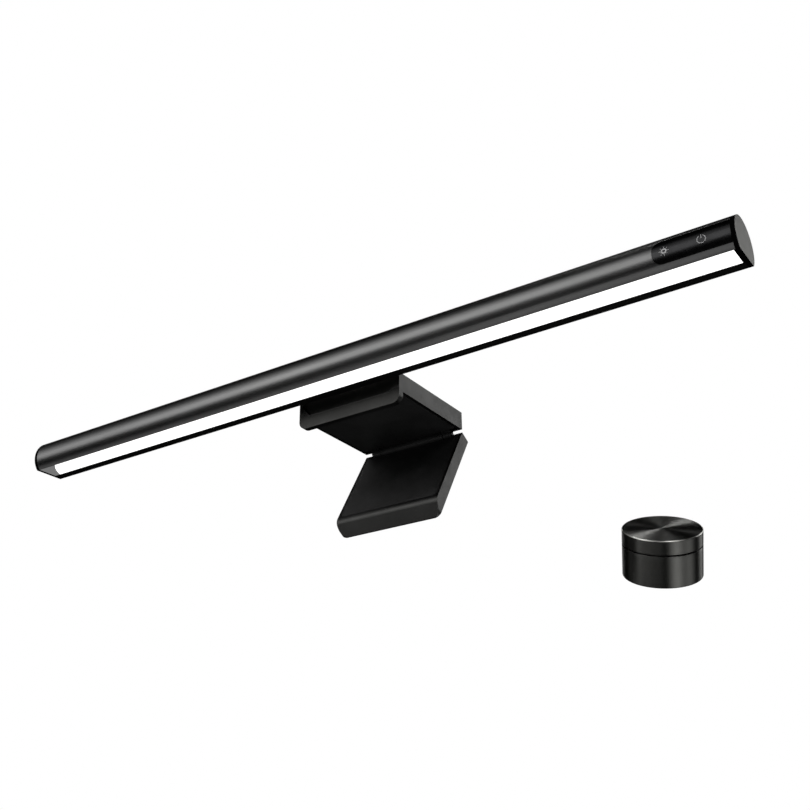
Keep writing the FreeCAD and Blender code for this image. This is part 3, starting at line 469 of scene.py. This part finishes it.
def lathe(name, profile, materials, finish_of_row, body):
    """Turned piece from (radius, height) points; UV runs round and across for the lathe marks.

    Rows of faces use the first material, or the one that finish_of_row names for them."""
    bm = bmesh.new()
    uv_layer = bm.loops.layers.uv.new("lathe")
    place = dial_frame()
    travel = [0.0]
    for first, second in zip(profile, profile[1:]):
        travel.append(travel[-1] + math.dist(first, second))
    rings = []
    for radius, height in profile:
        if radius < ON_AXIS:
            rings.append([bm.verts.new(place @ Vector((0, 0, height)))])
            continue
        ring = []
        for i in range(LATHE_STEPS):
            angle = 2 * math.pi * i / LATHE_STEPS
            spot = Vector((radius * math.cos(angle), radius * math.sin(angle), height))
            ring.append(bm.verts.new(place @ spot))
        rings.append(ring)
    for j, (first, second) in enumerate(zip(rings, rings[1:])):
        for i in range(LATHE_STEPS):
            k = (i + 1) % LATHE_STEPS
            around = [i / LATHE_STEPS, (i + 1) / LATHE_STEPS]
            if len(first) == 1:
                verts = (first[0], second[k], second[i])
                uvs = ((around[0], 0), (around[1], 1), (around[0], 1))
            elif len(second) == 1:
                verts = (first[i], first[k], second[0])
                uvs = ((around[0], 0), (around[1], 0), (around[0], 1))
            else:
                verts = (first[i], first[k], second[k], second[i])
                uvs = ((around[0], 0), (around[1], 0), (around[1], 1), (around[0], 1))
            face = bm.faces.new(verts)
            face.smooth = True
            face.material_index = finish_of_row.get(j, 0)
            for loop, (u, v) in zip(face.loops, uvs):
                loop[uv_layer].uv = (u, travel[j] + (travel[j + 1] - travel[j]) * v)
    bmesh.ops.remove_doubles(bm, verts=bm.verts, dist=SAME_SPOT)
    piece = add_piece(name, bm, materials[0], body)
    for material in materials[1:]:
        piece.data.materials.append(material)
    return piece


def make_turned_dial(finishes):
    wall, ceiling = 1.6 * MM, 2 * MM
    small_round, foot_round = 0.15 * MM, 0.8 * MM
    base_hole = 7.2 * MM
    turned = [finishes[name] for name in ("turned_side", "turned_top", "chamfer_painted_highlight")]
    top, edge = 1, 2

    radius, low, high = lathe_size("dial_knob")
    chamfer, soft = 0.45 * MM, 0.08 * MM
    flat_end = radius - chamfer - soft
    # the ring just inside the flat's edge keeps the flat's shading flat
    support_ring = flat_end - 0.4 * MM
    knob = [(0, high), (radius * 0.3, high), (radius * 0.65, high), (support_ring, high), (flat_end, high)]
    knob += arc_path((flat_end, high - soft), soft, 90, 45, 2)
    knob += arc_path((radius - soft, high - chamfer - soft), soft, 45, 0, 2)
    knob += [(radius, high - 2 * MM), (radius, low + 1 * MM), (radius, low + 0.25 * MM)]
    knob += arc_path((radius - small_round, low + small_round), small_round, 0, -90, 3)
    knob += [(radius - wall, low), (radius - wall, high - ceiling), (0, high - ceiling)]
    rows = {row: top for row in range(4)}
    # the chamfer rows take the lighter metal, a painted highlight
    rows.update({row: edge for row in range(5, 9)})
    piece = lathe("dial_knob_turned", knob, turned, rows, "dial")
    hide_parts("dial_knob")

    radius, low, high = lathe_size("remote_base")
    base = [(base_hole, high - wall), (base_hole, high), (radius - 0.3 * MM, high)]
    base += arc_path((radius - small_round, high - small_round), small_round, 90, 0, 3)
    base += [(radius, high - 3 * MM), (radius, low + 3 * MM)]
    base += arc_path((radius - foot_round, low + foot_round), foot_round, 0, -90, 6)
    base += [(radius - wall, low), (radius - wall, high - wall), (base_hole, high - wall)]
    piece = lathe("remote_base_turned", base, turned, {0: top, 1: top}, "remote")
    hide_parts("remote_base")


# ---------------------------------------------------------------- studio

FLOOR_Z, FLOOR_REACH = -0.9, 4.0
# brightness of the floor for the camera, of the backdrop for the camera and of the backdrop for the object
FLOOR_GLOW, BACKDROP, DIM_LIGHT = 0.82, 1.0, 0.006
BAR_MIDDLE = Vector(JOINTS["bar_tilt"]["pos_m"])
DIAL_AIM_HEIGHT = 15 * MM
DIAL_MIDDLE = dial_frame() @ Vector((0, 0, DIAL_AIM_HEIGHT))


def area_light(name, place, target, size, radiance, spread=180, roll=0):
    """Soft box of a given radiance; a narrow spread keeps it on its target.

    Spread and roll are in degrees."""
    data = bpy.data.lights.new(name, "AREA")
    data.shape = "RECTANGLE"
    data.size, data.size_y = size
    data.spread = math.radians(spread)
    half = data.spread / 2
    boost = 1 if spread == 180 else math.tan(half) / (math.tan(half) - half)
    data.energy = radiance * math.pi * size[0] * size[1] / boost
    light = bpy.data.objects.new(name, data)
    light.location = place
    light.rotation_mode = "QUATERNION"
    aim = (Vector(target) - Vector(place)).to_track_quat("-Z", "Y")
    light.rotation_quaternion = aim @ Quaternion((0, 0, 1), math.radians(roll))
    bpy.context.scene.collection.objects.link(light)


def strip_light(name, height_angle, distance, span, width, radiance, roll=0):
    """Long soft box parallel to the bar; its height angle is taken from straight in front, in degrees."""
    angle = math.radians(height_angle)
    middle = (span[0] + span[1]) / 2
    away = Vector((0, -math.cos(angle), math.sin(angle))) * distance
    foot = Vector((middle, BAR_MIDDLE.y, BAR_MIDDLE.z))
    area_light(name, foot + away, foot, (span[1] - span[0], width), radiance, roll=roll)


def camera_ray(tree):
    return tree.nodes.new("ShaderNodeLightPath").outputs["Is Camera Ray"]


def make_floor():
    """Pale floor; reflections see it darker, as under a product lit from one side."""
    bm = bmesh.new()
    bmesh.ops.create_grid(bm, x_segments=4, y_segments=4, size=FLOOR_REACH)
    mesh = bpy.data.meshes.new("floor")
    bm.to_mesh(mesh)
    bm.free()
    floor = bpy.data.objects.new("floor", mesh)
    floor.location.z = FLOOR_Z
    bpy.context.scene.collection.objects.link(floor)
    surface = Surface("pale_floor")
    surface.set(Roughness=0.9, Specular_IOR_Level=0.1)
    cloud = surface.noise(3, 3)
    surface.colors(cloud, (0.09, 0.09, 0.09), (0.1, 0.1, 0.1))
    surface.shader.inputs["Emission Color"].default_value = (1, 1, 1, 1)
    glow = surface.tree.nodes.new("ShaderNodeMath")
    glow.operation = "MULTIPLY"
    glow.inputs[1].default_value = FLOOR_GLOW
    surface.link(camera_ray(surface.tree), glow.inputs[0])
    surface.link(glow.outputs[0], surface.shader.inputs["Emission Strength"])
    mesh.materials.append(surface.material)


def make_world():
    """White backdrop for the camera, dim even light for everything else."""
    world = bpy.data.worlds.new("studio")
    world.use_nodes = True
    tree = world.node_tree
    tree.nodes.clear()
    output = tree.nodes.new("ShaderNodeOutputWorld")
    mix = tree.nodes.new("ShaderNodeMixShader")
    for socket, strength in ((1, DIM_LIGHT), (2, BACKDROP)):
        backdrop = tree.nodes.new("ShaderNodeBackground")
        backdrop.inputs["Color"].default_value = (1, 1, 1, 1)
        backdrop.inputs["Strength"].default_value = strength
        tree.links.new(backdrop.outputs[0], mix.inputs[socket])
    tree.links.new(camera_ray(tree), mix.inputs[0])
    tree.links.new(mix.outputs[0], output.inputs["Surface"])
    bpy.context.scene.world = world


def make_studio():
    make_floor()
    make_world()
    # strips: name, height angle, distance, span along X, width, radiance
    # on the bar: bright band, soft top, and the dimmer band along its lower edge
    strip_light("key_strip", 25, 1.2, (-2.3, 0.05), 0.60, 3.0, roll=6)
    strip_light("key_left", 37, 1.25, (-2.3, -0.75), 0.5, 0.8)
    strip_light("key_fade", 51, 1.2, (-2.3, 0.0), 0.44, 1.35)
    strip_light("key_tail", 72, 1.2, (-2.0, -0.5), 0.40, 0.28)
    strip_light("overhead", 105, 1.1, (-0.34, 0.4), 0.26, 1.1)
    strip_light("low_right", -35, 0.6, (-0.24, 0.35), 0.20, 1.15)
    strip_light("low_left", -44, 0.6, (-1.4, -0.26), 0.16, 0.85)
    # boxes: name, place, target, size, radiance, spread
    # on the faces that look to the right
    area_light("side_right", (0.98, 1.20, 0.58), BAR_MIDDLE, (0.6, 0.7), 3.5)
    # on the backs of the bar, clamp and leg
    area_light("rear_fill", (-0.90, 1.50, 0.60), BAR_MIDDLE, (1.2, 0.9), 0.5)
    # on the dial: spokes of light on its top, bright band on its side, bright chamfer
    area_light("dial_top", (-0.16, 0.12, 1.06), DIAL_MIDDLE, (0.22, 0.22), 46, 14)
    area_light("dial_side", (0.67, 0.01, -0.70), DIAL_MIDDLE, (1.0, 0.4), 4.2, 60)
    area_light("dial_front", (1.15, -0.95, 0.85), DIAL_MIDDLE, (1.3, 0.8), 6, 30)
    area_light("dial_left", (-0.66, -0.22, -0.44), DIAL_MIDDLE, (0.5, 0.4), 0.7, 30)
    area_light("dial_far_side", (0.79, 0.44, -0.44), DIAL_MIDDLE, (0.75, 0.4), 1.9, 60)
    scene = bpy.context.scene
    scene.view_settings.view_transform = "Standard"
    scene.view_settings.look = "None"


# ---------------------------------------------------------------- assemble

make_camera()
finishes = make_finishes()
dress_nodes(finishes)
make_touch_signs(finishes["sign"])
make_turned_dial(finishes)
make_studio()
